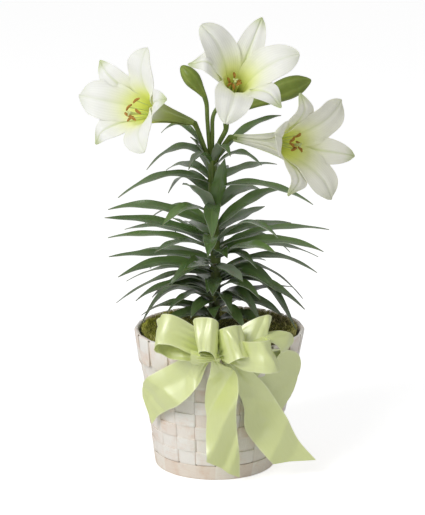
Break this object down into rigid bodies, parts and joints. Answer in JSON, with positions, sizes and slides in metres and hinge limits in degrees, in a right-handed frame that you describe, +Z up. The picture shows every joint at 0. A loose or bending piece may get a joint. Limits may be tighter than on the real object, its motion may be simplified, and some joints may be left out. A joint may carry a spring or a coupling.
{
  "type": "potted easter lily",
  "caption": "Potted Easter lily with trumpet blooms and buds on one leafy stem, standing in a whitewashed chip-wood basket with moss and a pale green ribbon bow.",
  "frame": {"origin": "middle of the underside of the basket, on the surface that it stands on", "axes": "+Z up the stem, -Y towards the front with the bow, +X to the right as seen from the front"},
  "size_m": [0.2642, 0.2301, 0.4573],
  "materials": {
    "chip_white": "whitewashed thin chip wood, dull",
    "chip_tan": "thinly washed chip wood with the tan wood showing",
    "pot_plastic": "thin dark plastic",
    "soil": "dark crumbly peat mix",
    "moss": "dry olive moss",
    "leaf": "glossy dark green leaf with long parallel veins",
    "tepal": "soft waxy white, yellow-green in the throat",
    "stamen": "pale green with rust-orange pollen on the anthers",
    "bud": "waxy green, paler on the ribs",
    "ribbon": "pale lime satin",
    "wire": "thin green-coated wire"
  },
  "bodies": {
    "root": {"base": "chip_tan", "band": "chip_tan", "weaver_1": "chip_white", "weaver_2": "chip_white", "weaver_3": "chip_white", "weaver_4": "chip_white", "weaver_5": "chip_white", "weaver_6": "chip_white", "weaver_7": "chip_white", "hoop": "chip_tan", "stake_1": "chip_white", "stake_2": "chip_white", "stake_3": "chip_white", "stake_4": "chip_white", "stake_5": "chip_white", "stake_6": "chip_white", "stake_7": "chip_white", "stake_8": "chip_white", "stake_9": "chip_white", "stake_10": "chip_white", "stake_11": "chip_white", "stake_12": "chip_white", "stake_13": "chip_white", "stake_14": "chip_white", "stake_15": "chip_white", "stake_16": "chip_white", "stake_17": "chip_white", "stake_18": "chip_white", "stake_19": "chip_white", "stake_20": "chip_white", "grow_pot": "pot_plastic", "soil": "soil", "moss": "moss", "leafy_stem": "leaf", "bloom_left": "tepal", "bloom_left_stamens": "stamen", "bloom_centre": "tepal", "bloom_centre_stamens": "stamen", "bloom_right": "tepal", "bloom_right_stamens": "stamen", "bud_left": "bud", "bud_right": "bud", "bow_loops": "ribbon", "bow_tails_left": "ribbon", "bow_tails_right": "ribbon", "bow_wire": "wire"}
  },
  "joints": []
}
